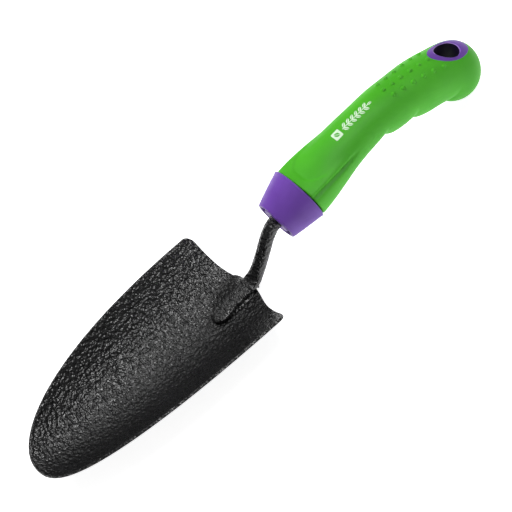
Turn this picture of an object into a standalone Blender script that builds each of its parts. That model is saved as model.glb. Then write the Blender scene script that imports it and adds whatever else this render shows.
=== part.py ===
"""Hand trowel with a hammered black steel blade, a bent round shank and a two-colour moulded handle.

Frame: +X points to the tip of the blade, +Z is up (the hollow side of the blade), Y is across.
The trowel rests on the belly of the blade and on the round end of the grip. All sizes are in mm
below and are turned into metres when a mesh is made.
"""
import math

import bmesh
import bpy
import numpy as np
from mathutils import Matrix, Vector

MM = 0.001
OBJECT_NAME = "hand_trowel"

# ---------------------------------------------------------------- fits and clearances
SEAT_GAP = 0.3            # air left between two pieces that sit against each other
SKIN_PROUD = 0.15         # how far the hang hole liner stands out of the soft grip

# ---------------------------------------------------------------- blade
BLADE_LENGTH = 149.6      # heel to tip along X
BLADE_HALF_WIDTH = 40.3   # at the heel, measured across
BLADE_TAPER = 2.34        # how late the sides start to close in
BLADE_ROUND = 2.24        # how full the tip is
SHEET = 1.6               # sheet thickness
HOLLOW_HEEL = 0.0124      # cross curvature at the heel, 1/mm
HOLLOW_TIP = 0.0246       # cross curvature at the tip, 1/mm
TIP_RISE = 22.0           # how far the tip curls up from the line of the heel
BELLY_SLOPE = -0.041      # slope of the belly line at the heel
TONGUE = 5.6              # how far the heel edge runs back under the shank
TONGUE_SPREAD = 14.0
HEEL_CORNER = 4.4         # radius of the two rear corners
RIM_ROUND = 0.45          # softened edge of the sheet
BLADE_RING_COUNT = 7
SIDE_STEPS = 26
CORNER_STEPS = 4
HEEL_STEPS = 10

# ---------------------------------------------------------------- shank
ROD_RADIUS = 4.0
STRAP_HALF_WIDTH = 5.1    # flattened foot on the blade
STRAP_HALF_HEIGHT = 2.4
TOE_HALF_HEIGHT = 1.7
TOE_X = 24.0              # front end of the flattened foot
TANG_DEPTH = 52.0         # length of rod held inside the handle
SHANK_SIDES = 20

# ---------------------------------------------------------------- welds
WELD_SIDE_RADIUS = 1.1
WELD_SIDE_START = -1.0
WELD_SIDE_END = 17.0
WELD_HEEL_RADIUS = 0.9
WELD_HEEL_HALF_LENGTH = 3.6
WELD_SIDES = 12

# ---------------------------------------------------------------- handle line
COLLAR_X = -34.4          # front face of the handle
COLLAR_Z = 29.3           # height of the shank where it enters the handle
HANDLE_LINE = (           # distance behind the front face, height above the front face
    (0.0, 0.0),
    (25.8, 5.0),
    (45.8, 7.5),
    (65.8, 9.0),
    (78.0, 8.6),
    (90.5, 6.1),
    (106.0, 1.6),
    (121.0, -5.0),
    (134.0, -13.5),
)
HANDLE_DROP = 0.78        # slope at the rear end of the line
HANDLE_SIDES = 36

# ---------------------------------------------------------------- collar
COLLAR_LENGTH = 19.9
COLLAR_FRONT_RADIUS = 12.8
COLLAR_REAR_RADIUS = 17.5
COLLAR_ROUND = 0.8
COLLAR_RIM = 1.9          # wall left in front, round the recess
RECESS_DEPTH = 7.0
SEAM_TILT = 0.06          # the seam plane leans back at the top
FACE_TILT_SHARE = 1.15    # lean of the front face over the lean of the seam

# ---------------------------------------------------------------- core
HUB_RADIUS = 8.3
SHOULDER_BACK = 5.0       # shoulder of the core behind the seam
CORE_END = 113.0
SKIN = 3.0                # thickness of the soft grip over the core

# ---------------------------------------------------------------- grip
GRIP_END = 138.8          # centre of the round end, along the handle line
GRIP_SIZE = (             # distance along the line, half width, height above, height below
    (19.0, 17.2, 16.5, 16.8),
    (28.0, 16.9, 16.2, 16.7),
    (40.0, 15.7, 14.6, 15.2),
    (52.0, 13.9, 13.3, 14.0),
    (64.0, 13.0, 12.9, 13.4),
    (74.0, 12.8, 13.0, 13.4),
    (85.0, 13.6, 13.4, 15.4),
    (97.5, 14.2, 14.0, 15.9),
    (110.5, 15.1, 15.4, 16.7),
    (123.5, 15.5, 16.2, 15.6),
    (138.8, 16.7, 17.5, 17.0),
)
GRIP_ROUND = 1.2          # rounded front edge
DISH_HEIGHT = 11.4        # middle of the thumb rest, above the line
DISH_START = 8.0
DISH_FULL = 27.0
DISH_END = 66.0
RIDGE_CREASE = 1.4        # depth of the crease below each edge of the thumb rest
RIDGE_ANGLE = 26.0        # degrees above the side, at the rear of the thumb rest
RIDGE_ANGLE_FRONT = 36.0  # the same at the seam
CREASE_BELOW = 7.0        # degrees from the edge of the thumb rest down to its crease
RIDGE_FADE = 44.0         # the crease starts to fade out here
RIDGE_END = 60.0
FINGER_NOTCHES = (78.0, 100.0, 130.5)
NOTCH_DEPTH = 1.9
NOTCH_RUN_IN = 4.6        # gentle slope before each notch
NOTCH_RUN_OUT = 2.2       # steeper step behind it

# ---------------------------------------------------------------- raised dots
DOT_RADIUS = 1.3
DOT_HEIGHT = 0.65
DOT_ROWS = (              # degrees from the top at the first and last dot, start, pitch
    (-24.0, -27.0, 88.3, 5.9),
    (1.0, 3.0, 87.2, 5.95),
    (24.0, 33.0, 89.3, 6.45),
)
DOTS_PER_ROW = 6
DOT_SIDES = 8

# ---------------------------------------------------------------- hang hole
HOLE_TILT = 8.0           # degrees the hole leans back from upright
HOLE_ALONG = 137.0        # where the middle of the hole crosses the handle line
HOLE_HALF_LENGTH = 7.5
HOLE_HALF_WIDTH = 6.5
LINER_FRONT = 4.9         # width of the purple ring toward the blade
LINER_REAR = 6.3
LINER_SIDE = 2.1
LINER_UNDER = 1.8         # width of the ring on the underside
EGG = 0.16                # how much wider the rear of the hole is
HOLE_SIDES = 40

# ---------------------------------------------------------------- colours, linear
BLACK_COAT = (0.012, 0.012, 0.013, 1.0)
PURPLE = (0.155, 0.062, 0.400, 1.0)
GREEN = (0.075, 0.420, 0.028, 1.0)


def clear_scene():
    for item in list(bpy.data.objects):
        bpy.data.objects.remove(item, do_unlink=True)
    for item in list(bpy.data.collections):
        bpy.data.collections.remove(item)


def new_collection(name):
    group = bpy.data.collections.new(name)
    bpy.context.scene.collection.children.link(group)
    return group


def new_material(name, colour, roughness, metallic=0.0):
    material = bpy.data.materials.new(name)
    material.use_nodes = True
    shader = material.node_tree.nodes["Principled BSDF"]
    shader.inputs["Base Color"].default_value = colour
    shader.inputs["Roughness"].default_value = roughness
    shader.inputs["Metallic"].default_value = metallic
    material.diffuse_color = colour
    return material


def smooth_step(edge_a, edge_b, value):
    t = min(1.0, max(0.0, (value - edge_a) / (edge_b - edge_a)))
    return t * t * (3.0 - 2.0 * t)


def curve_value(knots, column, at, end_slope=None):
    """Smooth curve through a short list of knots."""
    xs = [k[0] for k in knots]
    ys = [k[column] for k in knots]
    if at >= xs[-1]:
        slope = 0.0 if end_slope is None else end_slope
        return ys[-1] + slope * (at - xs[-1])
    at = max(at, xs[0])
    slopes = [(ys[i + 1] - ys[i]) / (xs[i + 1] - xs[i]) for i in range(len(xs) - 1)]
    ends = [slopes[0]]
    for i in range(1, len(xs) - 1):
        span_a = xs[i] - xs[i - 1]
        span_b = xs[i + 1] - xs[i]
        ends.append((slopes[i - 1] * span_b + slopes[i] * span_a) / (span_a + span_b))
    ends.append(slopes[-1] if end_slope is None else end_slope)
    i = max(j for j in range(len(xs) - 1) if xs[j] <= at)
    span = xs[i + 1] - xs[i]
    t = (at - xs[i]) / span
    h00 = 2 * t ** 3 - 3 * t ** 2 + 1
    h10 = t ** 3 - 2 * t ** 2 + t
    h01 = -2 * t ** 3 + 3 * t ** 2
    h11 = t ** 3 - t ** 2
    return h00 * ys[i] + h10 * span * ends[i] + h01 * ys[i + 1] + h11 * span * ends[i + 1]


# ---------------------------------------------------------------- handle line
def build_line():
    """Samples of the handle line: length along it, x and z."""
    reach = HANDLE_LINE[-1][0] + 12.0
    back = np.arange(0.0, reach, 0.25)
    height = [curve_value(HANDLE_LINE, 1, b, -HANDLE_DROP) for b in back]
    x = COLLAR_X - back
    z = COLLAR_Z + np.array(height)
    along = np.concatenate([[0.0], np.cumsum(np.hypot(np.diff(x), np.diff(z)))])
    return along, x, z


LINE = build_line()


def line_point(s):
    point = Vector((float(np.interp(s, LINE[0], LINE[1])), 0.0, float(np.interp(s, LINE[0], LINE[2]))))
    if s < 0.0:
        ahead = Vector((LINE[1][1] - LINE[1][0], 0.0, LINE[2][1] - LINE[2][0])).normalized()
        point += ahead * s
    return point


def line_frame(s):
    """Point, direction toward the rear and upward normal of the handle line."""
    a = line_point(max(0.0, s - 1.5))
    b = line_point(s + 1.5)
    along = (b - a).normalized()
    up = Vector((along.z, 0.0, -along.x))
    return line_point(s), along, up


def notch_depth(s):
    total = 0.0
    for n in FINGER_NOTCHES:
        fade = NOTCH_RUN_IN if s < n else NOTCH_RUN_OUT
        total += NOTCH_DEPTH * math.exp(-abs(s - n) / fade)
    return total


def grip_radius(s, angle):
    """Outer shape of the grip: offsets across and up for one angle of one cross-section."""
    half = curve_value(GRIP_SIZE, 1, s, 0.0)
    above = curve_value(GRIP_SIZE, 2, s, 0.0)
    below = curve_value(GRIP_SIZE, 3, s, 0.0)
    c = math.cos(angle)
    d = math.sin(angle)
    across = half * c
    up = (above if d > 0.0 else below) * d
    dish = smooth_step(DISH_START, DISH_FULL, s) * (1.0 - smooth_step(DISH_FULL, DISH_END, s))
    swing = (RIDGE_ANGLE_FRONT - RIDGE_ANGLE) * (1.0 - smooth_step(20.0, 55.0, s))
    ridge = math.radians(RIDGE_ANGLE + swing)
    if d > 0.0 and dish > 0.0:
        top = above - (above - DISH_HEIGHT) * dish
        top -= (top - above * math.sin(ridge)) / math.cos(ridge) ** 2 * c * c
        soft = 0.8
        blend = -soft * math.log(math.exp(-up / soft) + math.exp(-top / soft))
        up = up + (blend - up) * dish
    lean = math.asin(max(-1.0, min(1.0, d)))
    hold = smooth_step(DISH_START, DISH_FULL, s) * (1.0 - smooth_step(RIDGE_FADE, RIDGE_END, s))
    crease = (lean - ridge + math.radians(CREASE_BELOW)) / math.radians(7.0)
    crease = RIDGE_CREASE * hold * math.exp(-crease ** 2)
    notch = notch_depth(s) * smooth_step(-0.25, 0.75, -d)
    shrink = crease + notch
    size = math.hypot(across, up)
    factor = (size - shrink) / size if size > 0.0 else 1.0
    return across * factor, up * factor


def grip_ring(s, inset, sides, lean_share=0.0, scale=1.0):
    """One closed ring of the grip, moved in by inset and leaning back at the top."""
    ring = []
    for i in range(sides):
        angle = 2.0 * math.pi * i / sides
        along_s = s + SEAM_TILT * lean_share * grip_radius(s, angle)[1]
        centre, _, up_dir = line_frame(along_s)
        across, up = grip_radius(along_s, angle)
        size = math.hypot(across, up)
        factor = max(0.02, (size - inset) / size) * scale
        ring.append(centre + Vector((0.0, 1.0, 0.0)) * (across * factor) + up_dir * (up * factor))
    return ring


def round_ring(s, radius, sides, lean_share=0.0):
    ring = []
    for i in range(sides):
        angle = 2.0 * math.pi * i / sides
        along_s = s + SEAM_TILT * lean_share * radius * math.sin(angle)
        centre, _, up_dir = line_frame(along_s)
        side = Vector((0.0, 1.0, 0.0)) * (radius * math.cos(angle))
        ring.append(centre + side + up_dir * (radius * math.sin(angle)))
    return ring


def tail_rings(s, inset, sides, steps):
    """Rings of the round rear end, from the last full section to just short of its pole."""
    centre, along, up_dir = line_frame(s)
    reach = curve_value(GRIP_SIZE, 1, s, 0.0) - inset
    rings = []
    for k in range(1, steps):
        lean = 0.5 * math.pi * k / steps
        ring = []
        for i in range(sides):
            angle = 2.0 * math.pi * i / sides
            across, up = grip_radius(s, angle)
            size = math.hypot(across, up)
            factor = (size - inset) / size * math.cos(lean)
            point = centre + along * (reach * math.sin(lean))
            ring.append(point + Vector((0.0, across * factor, 0.0)) + up_dir * (up * factor))
        rings.append(ring)
    return rings, centre + along * reach


# ---------------------------------------------------------------- mesh helpers
def mesh_from_rings(rings, first_pole=None, last_pole=None, looped=False):
    """Vertices and faces through a row of rings with the same number of points."""
    verts = []
    faces = []
    count = len(rings[0])
    for ring in rings:
        verts.extend(ring)
    rows = len(rings) if looped else len(rings) - 1
    for r in range(rows):
        a = r * count
        b = ((r + 1) % len(rings)) * count
        for i in range(count):
            j = (i + 1) % count
            faces.append((a + i, a + j, b + j, b + i))
    if first_pole is not None:
        pole = len(verts)
        verts.append(first_pole)
        for i in range(count):
            faces.append((pole, (i + 1) % count, i))
    if last_pole is not None:
        pole = len(verts)
        verts.append(last_pole)
        a = (len(rings) - 1) * count
        for i in range(count):
            faces.append((pole, a + i, a + (i + 1) % count))
    return verts, faces


def make_object(name, verts, faces, material, group, sharp_angle=35.0):
    mesh = bpy.data.meshes.new(name)
    mesh.from_pydata([Vector(v) * MM for v in verts], [], faces)
    work = bmesh.new()
    work.from_mesh(mesh)
    bmesh.ops.remove_doubles(work, verts=work.verts, dist=1e-7)
    bmesh.ops.recalc_face_normals(work, faces=work.faces)
    for face in work.faces:
        face.smooth = True
    for edge in work.edges:
        if len(edge.link_faces) == 2:
            edge.smooth = edge.calc_face_angle(0.0) < math.radians(sharp_angle)
    work.to_mesh(mesh)
    work.free()
    if material is not None:
        mesh.materials.append(material)
    item = bpy.data.objects.new(name, mesh)
    group.objects.link(item)
    return item


def add_boolean(item, other, operation):
    modifier = item.modifiers.new(operation.lower(), "BOOLEAN")
    modifier.operation = operation
    modifier.solver = "EXACT"
    modifier.object = other
    return modifier


# ---------------------------------------------------------------- blade
def belly_height(x):
    t = min(1.0, max(0.0, x / BLADE_LENGTH))
    return TIP_RISE * t ** 3 + BELLY_SLOPE * BLADE_LENGTH * t


def blade_height(x, y):
    t = min(1.0, max(0.0, x / BLADE_LENGTH))
    hollow = HOLLOW_HEEL + (HOLLOW_TIP - HOLLOW_HEEL) * t
    return belly_height(x) + hollow * y * y


def heel_edge(y):
    return -TONGUE * math.exp(-(y / TONGUE_SPREAD) ** 2)


def half_outline():
    """Plan outline from the tip, down the +Y side, round the corner, to the middle of the heel."""
    points = []
    for k in range(SIDE_STEPS + 1):
        share = 1.0 - k / SIDE_STEPS
        lean = 0.5 * math.pi * share
        y_share = math.cos(lean) ** 0.9
        x = BLADE_LENGTH * (1.0 - y_share ** BLADE_ROUND) ** (1.0 / BLADE_TAPER)
        if x < HEEL_CORNER:
            break
        points.append((x, BLADE_HALF_WIDTH * y_share))
    side_y = BLADE_HALF_WIDTH * (1.0 - (HEEL_CORNER / BLADE_LENGTH) ** BLADE_TAPER) ** (1.0 / BLADE_ROUND)
    for k in range(CORNER_STEPS + 1):
        lean = 0.5 * math.pi * k / CORNER_STEPS
        x = HEEL_CORNER * (1.0 - math.sin(lean))
        y = side_y - HEEL_CORNER * (1.0 - math.cos(lean))
        points.append((x, y))
    last_y = side_y - HEEL_CORNER
    for k in range(1, HEEL_STEPS + 1):
        y = last_y * (1.0 - k / HEEL_STEPS)
        points.append((heel_edge(y), y))
    return points


def build_blade(material, group):
    half = half_outline()
    outline = half + [(x, -y) for x, y in reversed(half[1:-1])]
    spine_start = 0.14 * BLADE_LENGTH
    spine_end = 0.76 * BLADE_LENGTH
    rings = []
    for r in range(BLADE_RING_COUNT + 1):
        share = r / BLADE_RING_COUNT
        ring = []
        for x, y in outline:
            hold = min(spine_end, max(spine_start, x))
            px = hold + (x - hold) * share
            py = y * share
            ring.append(Vector((px, py, blade_height(px, py))))
        rings.append(ring)
    verts, faces = mesh_from_rings(rings)
    blade = make_object("blade", verts, faces, material, group)
    fix_up = bmesh.new()
    fix_up.from_mesh(blade.data)
    bmesh.ops.dissolve_degenerate(fix_up, dist=1e-6, edges=fix_up.edges)
    up_sum = sum(f.normal.z for f in fix_up.faces)
    if up_sum < 0.0:
        bmesh.ops.reverse_faces(fix_up, faces=fix_up.faces)
    fix_up.to_mesh(blade.data)
    fix_up.free()
    shell = blade.modifiers.new("sheet", "SOLIDIFY")
    shell.thickness = SHEET * MM
    shell.offset = -1.0
    shell.use_even_offset = True
    edge = blade.modifiers.new("rim", "BEVEL")
    edge.width = RIM_ROUND * MM
    edge.segments = 1
    edge.limit_method = "ANGLE"
    edge.angle_limit = math.radians(50.0)
    return blade


# ---------------------------------------------------------------- shank
def shank_sections():
    """Centre, upward normal, half width, half height and fullness, from the toe to the tang."""
    foot = []
    for x in (TOE_X - 0.2, TOE_X - 1.2, TOE_X - 3.0, TOE_X - 6.0, 14.0, 8.0, 3.0, -1.0):
        nose = math.sqrt(max(0.0, 1.0 - (max(0.0, x - (TOE_X - 4.5)) / 4.6) ** 2))
        flat = smooth_step(TOE_X, 0.0, x)
        tall = TOE_HALF_HEIGHT + (STRAP_HALF_HEIGHT - TOE_HALF_HEIGHT) * flat
        wide = STRAP_HALF_WIDTH * max(0.25, nose)
        base = blade_height(x, 0.0) + SEAT_GAP
        foot.append((Vector((x, 0.0, base + tall)), wide, tall, 4.0))
    bend = (
        (-6.3, 3.45, 4.8, 2.9, 3.2),
        (-9.6, 5.2, 4.3, 3.5, 2.6),
        (-13.3, 8.7, ROD_RADIUS, ROD_RADIUS, 2.1),
        (-17.5, 13.6, ROD_RADIUS, ROD_RADIUS, 2.0),
        (-21.6, 18.9, ROD_RADIUS, ROD_RADIUS, 2.0),
        (-25.2, 23.5, ROD_RADIUS, ROD_RADIUS, 2.0),
        (-28.3, 26.6, ROD_RADIUS, ROD_RADIUS, 2.0),
        (-31.4, 28.6, ROD_RADIUS, ROD_RADIUS, 2.0),
    )
    neck = [(Vector((x, 0.0, z)), w, t, n) for x, z, w, t, n in bend]
    tang = []
    for s in (0.8, 8.0, 18.0, 28.0, 38.0, TANG_DEPTH - 1.2, TANG_DEPTH):
        radius = ROD_RADIUS if s < TANG_DEPTH - 0.1 else ROD_RADIUS - 0.8
        tang.append((line_point(s), radius, radius, 2.0))
    return foot + neck + tang


def spline_point(points, i, t):
    a = points[max(0, i - 1)]
    b = points[i]
    c = points[i + 1]
    d = points[min(len(points) - 1, i + 2)]
    return 0.5 * ((2 * b) + (c - a) * t + (2 * a - 5 * b + 4 * c - d) * t ** 2
                  + (3 * b - a - 3 * c + d) * t ** 3)


def build_shank(material, group):
    stations = shank_sections()
    centres = [s[0] for s in stations]
    fine = []
    for i in range(len(stations) - 1):
        bend = 6 < i < 16
        steps = 3 if bend else 1
        for k in range(steps):
            t = k / steps
            point = spline_point(centres, i, t) if bend else centres[i].lerp(centres[i + 1], t)
            mix = [stations[i][j] + (stations[i + 1][j] - stations[i][j]) * t for j in (1, 2, 3)]
            fine.append((point, *mix))
    fine.append(stations[-1])
    rings = []
    for i, (centre, wide, tall, full) in enumerate(fine):
        before = fine[max(0, i - 1)][0]
        after = fine[min(len(fine) - 1, i + 1)][0]
        along = (after - before).normalized()
        up = Vector((along.z, 0.0, -along.x))
        ring = []
        for k in range(SHANK_SIDES):
            angle = 2.0 * math.pi * k / SHANK_SIDES
            c = math.cos(angle)
            d = math.sin(angle)
            across = wide * math.copysign(abs(c) ** (2.0 / full), c)
            rise = tall * math.copysign(abs(d) ** (2.0 / full), d)
            ring.append(centre + Vector((0.0, across, 0.0)) + up * rise)
        rings.append(ring)
    verts, faces = mesh_from_rings(rings, fine[0][0], fine[-1][0])
    return make_object("shank", verts, faces, material, group)


# ---------------------------------------------------------------- welds
def bead(name, path, radius, material, group):
    """A closed round bead along a path, with slightly uneven thickness like hand welding."""
    rings = []
    count = len(path)
    for i, point in enumerate(path):
        before = path[max(0, i - 1)]
        after = path[min(count - 1, i + 1)]
        along = (after - before).normalized()
        side = along.cross(Vector((0.0, 0.0, 1.0))).normalized()
        up = side.cross(along)
        end = min(i, count - 1 - i)
        swell = (0.55, 0.85, 1.0)[min(end, 2)] * (1.0 - 0.06 * (i % 2))
        ring = []
        for k in range(WELD_SIDES):
            angle = 2.0 * math.pi * k / WELD_SIDES
            ring.append(point + side * (radius * swell * math.cos(angle)) + up * (radius * swell * math.sin(angle)))
        rings.append(ring)
    verts, faces = mesh_from_rings(rings, path[0], path[-1])
    return make_object(name, verts, faces, material, group)


def build_welds(material, group):
    reach = STRAP_HALF_WIDTH + SEAT_GAP + WELD_SIDE_RADIUS
    steps = 10
    for name, side in (("weld_left", -1.0), ("weld_right", 1.0)):
        path = []
        for i in range(steps + 1):
            x = WELD_SIDE_START + (WELD_SIDE_END - WELD_SIDE_START) * i / steps
            y = side * reach
            outer = reach + WELD_SIDE_RADIUS
            z = blade_height(x, outer) + SEAT_GAP + WELD_SIDE_RADIUS
            path.append(Vector((x, y, z)))
        bead(name, path, WELD_SIDE_RADIUS, material, group)
    path = []
    steps = 8
    for i in range(steps + 1):
        y = WELD_HEEL_HALF_LENGTH * (2.0 * i / steps - 1.0)
        x = heel_edge(0.0) - SEAT_GAP - WELD_HEEL_RADIUS
        z = -SHEET + WELD_HEEL_RADIUS - 0.4
        path.append(Vector((x, y, z)))
    bead("weld_heel", path, WELD_HEEL_RADIUS, material, group)


# ---------------------------------------------------------------- collar and core
def build_collar(material, group):
    taper = (COLLAR_REAR_RADIUS - COLLAR_FRONT_RADIUS) / COLLAR_LENGTH
    e = COLLAR_ROUND
    face = FACE_TILT_SHARE
    rear = COLLAR_LENGTH

    def outer(s):
        return COLLAR_FRONT_RADIUS + taper * s

    inner = HUB_RADIUS + SEAT_GAP
    recess = COLLAR_FRONT_RADIUS - COLLAR_RIM
    profile = (
        (0.0, recess, face),
        (0.0, outer(0.0) - e, face),
        (0.3 * e, outer(0.0) - 0.3 * e, face),
        (e, outer(e), face),
        (0.35 * rear, outer(0.35 * rear), 0.65 * face + 0.35),
        (0.7 * rear, outer(0.7 * rear), 0.3 * face + 0.7),
        (rear - e, outer(rear - e), 1.0),
        (rear - 0.3 * e, outer(rear) - 0.25 * e, 1.0),
        (rear, outer(rear) - e, 1.0),
        (rear, inner, 1.0),
        (RECESS_DEPTH, inner, face),
        (RECESS_DEPTH, recess - 0.4, face),
    )
    rings = [round_ring(s, r, HANDLE_SIDES, share) for s, r, share in profile]
    verts, faces = mesh_from_rings(rings, looped=True)
    return make_object("collar", verts, faces, material, group)


def core_stops():
    shoulder = COLLAR_LENGTH + SEAM_TILT * COLLAR_REAR_RADIUS + SHOULDER_BACK
    stops = [shoulder + 1.2, 30.5, 34.0, 39.0, 44.0, 49.0, 54.0, 59.0, 64.0, 74.0, 84.0, 94.0, 104.0]
    return shoulder, stops + [CORE_END - 1.5, CORE_END]


def neck_radius():
    """The core narrows behind the collar, so that the grip keeps its skin under the thumb rest."""
    return min(HUB_RADIUS, DISH_HEIGHT - SKIN - 1.9)


def build_core(material, group):
    shoulder, stops = core_stops()
    bore = ROD_RADIUS + SEAT_GAP
    sides = HANDLE_SIDES
    face = FACE_TILT_SHARE
    rings = [round_ring(0.0, bore, sides, face), round_ring(0.0, HUB_RADIUS - 0.3, sides, face)]
    rings.append(round_ring(0.3, HUB_RADIUS, sides, face))
    rings.append(round_ring(COLLAR_LENGTH - 1.0, HUB_RADIUS, sides))
    rings.append(round_ring(shoulder, neck_radius(), sides))
    for i, s in enumerate(stops):
        extra = (1.0, 0.0)[min(i, 1)] if s < CORE_END - 0.1 else 2.2
        rings.append(grip_ring(max(s, shoulder), SKIN + 0.5 * SEAT_GAP + extra, sides))
    end = line_point(CORE_END)
    verts, faces = mesh_from_rings(rings, None, end)
    deep = TANG_DEPTH + SEAT_GAP
    base = len(verts)
    depths = (0.0, 10.0, 20.0, 30.0, 40.0, deep)
    inner = [round_ring(s, bore, sides) for s in depths[1:]]
    for ring in inner:
        verts.extend(ring)
    previous = 0
    for r in range(len(inner)):
        here = base + r * sides
        for i in range(sides):
            j = (i + 1) % sides
            faces.append((previous + j, previous + i, here + i, here + j))
        previous = here
    pole = len(verts)
    verts.append(line_point(deep))
    for i in range(sides):
        faces.append((pole, previous + (i + 1) % sides, previous + i))
    return make_object("handle_core", verts, faces, material, group)


# ---------------------------------------------------------------- grip
def grip_stations():
    start = COLLAR_LENGTH + SEAT_GAP
    stations = [start + d for d in (0.0, 0.35, 1.2, 3.2, 6.0, 9.0, 12.0)]
    s = stations[-1] + 3.0
    while s < GRIP_END - 1.0:
        stations.append(s)
        near = min(abs(s - n) for n in FINGER_NOTCHES)
        s += 1.5 if near < 3.4 else 3.2
    stations.append(GRIP_END)
    return start, stations


def outer_rings(extra=0.0):
    start, stations = grip_stations()
    rings = []
    for s in stations:
        behind = s - start
        share = 1.0 - smooth_step(0.0, 14.0, behind)
        if behind < GRIP_ROUND:
            drop = GRIP_ROUND - math.sqrt(max(0.0, GRIP_ROUND ** 2 - (GRIP_ROUND - behind) ** 2))
        else:
            drop = 0.0
        rings.append(grip_ring(s, drop - extra, HANDLE_SIDES, share))
    tail, pole = tail_rings(GRIP_END, -extra, HANDLE_SIDES, 9)
    return rings + tail, pole


def build_grip_outer(name, extra, material, group):
    """The full outside shape of the grip as one closed solid, used to trim the liner."""
    rings, pole = outer_rings(extra)
    verts, faces = mesh_from_rings(rings, line_point(grip_stations()[0]), pole)
    return make_object(name, verts, faces, material, group)


def build_grip(material, group):
    rings, pole = outer_rings()
    start = grip_stations()[0]
    shoulder, stops = core_stops()
    clear = SEAT_GAP
    bore = HUB_RADIUS + clear
    inner = [round_ring(start, bore, HANDLE_SIDES, 1.0)]
    inner.append(round_ring(shoulder - clear, neck_radius() + clear, HANDLE_SIDES))
    for i, s in enumerate(stops):
        if i == 0:
            inner.append(grip_ring(shoulder - clear, SKIN + 1.0 - clear, HANDLE_SIDES))
            inner.append(grip_ring(s, SKIN - clear, HANDLE_SIDES))
        elif s < CORE_END - 0.1:
            inner.append(grip_ring(s, SKIN - clear, HANDLE_SIDES))
    inner.append(grip_ring(CORE_END + clear, SKIN + 2.0 - clear, HANDLE_SIDES))
    count = HANDLE_SIDES
    verts, faces = mesh_from_rings(rings, None, pole)
    base = len(verts)
    for ring in inner:
        verts.extend(ring)
    previous = 0
    for r in range(len(inner)):
        here = base + r * count
        for i in range(count):
            j = (i + 1) % count
            faces.append((previous + j, previous + i, here + i, here + j))
        previous = here
    end = len(verts)
    verts.append(line_point(CORE_END + clear))
    for i in range(count):
        faces.append((end, previous + (i + 1) % count, previous + i))
    return make_object("grip_sleeve", verts, faces, material, group)


def surface_point(s, degrees_from_top):
    """Point and outward normal on the grip, measured from the top line."""
    angle = math.radians(90.0 - degrees_from_top)
    centre, _, up_dir = line_frame(s)
    across, up = grip_radius(s, angle)
    offset = Vector((0.0, across, 0.0)) + up_dir * up
    return centre + offset, offset.normalized()


def build_dots(group):
    """Low domes, joined into one cutter-like body that is added to the grip."""
    verts = []
    faces = []
    radius = (DOT_RADIUS ** 2 + DOT_HEIGHT ** 2) / (2.0 * DOT_HEIGHT)
    for first, last, start, pitch in DOT_ROWS:
        for k in range(DOTS_PER_ROW):
            degrees = first + (last - first) * k / (DOTS_PER_ROW - 1)
            point, out = surface_point(start + k * pitch, degrees)
            centre = point + out * (DOT_HEIGHT - radius)
            side = out.cross(Vector((1.0, 0.0, 0.0))).normalized()
            other = out.cross(side)
            rings = []
            for lean in (75.0, 50.0, 24.0):
                r = radius * math.sin(math.radians(lean))
                h = radius * math.cos(math.radians(lean))
                ring = []
                for i in range(DOT_SIDES):
                    angle = 2.0 * math.pi * i / DOT_SIDES
                    ring.append(centre + out * h + side * (r * math.cos(angle)) + other * (r * math.sin(angle)))
                rings.append(ring)
            part_verts, part_faces = mesh_from_rings(rings, centre, centre + out * radius)
            base = len(verts)
            verts.extend(part_verts)
            faces.extend(tuple(i + base for i in f) for f in part_faces)
    return make_object("cut_dots", verts, faces, None, group)


# ---------------------------------------------------------------- hang hole
def hole_frame():
    lean = math.radians(HOLE_TILT)
    up = Vector((-math.sin(lean), 0.0, math.cos(lean)))
    rear = Vector((-math.cos(lean), 0.0, -math.sin(lean)))
    return line_point(HOLE_ALONG), up, rear


def egg_ring(centre, rear, half_front, half_rear, half_width):
    ring = []
    for i in range(HOLE_SIDES):
        angle = 2.0 * math.pi * i / HOLE_SIDES
        c = math.cos(angle)
        d = math.sin(angle)
        along = (half_rear if c > 0.0 else half_front) * c
        across = half_width * d * (1.0 + EGG * c)
        ring.append(centre + rear * along + Vector((0.0, across, 0.0)))
    return ring


def egg_prism(name, rims, material, group, reach=24.0):
    """Closed egg-shaped bar along the hang hole; rims are its extra widths, above and below."""
    centre, up, rear = hole_frame()
    rings = []
    for side, (front, back, wide) in zip((-1.0, 1.0), (rims[1], rims[0])):
        middle = centre + up * (side * reach)
        half = (HOLE_HALF_LENGTH + front, HOLE_HALF_LENGTH + back, HOLE_HALF_WIDTH + wide)
        rings.append(egg_ring(middle, rear, *half))
    verts, faces = mesh_from_rings(rings, centre - up * reach, centre + up * reach)
    return make_object(name, verts, faces, material, group)


def liner_rims(clear):
    above = (LINER_FRONT + clear, LINER_REAR + clear, LINER_SIDE + clear)
    below = (LINER_UNDER + clear, LINER_UNDER + clear, LINER_UNDER + clear)
    return above, below


def build_liner(material, group, cutters):
    """A tube along the hang hole, trimmed to the skin of the grip."""
    skin = build_grip_outer("cut_skin", SKIN_PROUD, None, cutters)
    centre, up, rear = hole_frame()
    above, below = liner_rims(0.0)
    reach = 24.0
    rings = []
    for side, (front, back, wide) in ((-1.0, below), (1.0, above)):
        middle = centre + up * (side * reach)
        half = (HOLE_HALF_LENGTH + front, HOLE_HALF_LENGTH + back, HOLE_HALF_WIDTH + wide)
        rings.append(egg_ring(middle, rear, *half))
    for side in (1.0, -1.0):
        middle = centre + up * (side * reach)
        rings.append(egg_ring(middle, rear, HOLE_HALF_LENGTH, HOLE_HALF_LENGTH, HOLE_HALF_WIDTH))
    verts, faces = mesh_from_rings(rings, looped=True)
    liner = make_object("hang_liner", verts, faces, material, group)
    add_boolean(liner, skin, "INTERSECT")
    return liner


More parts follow.
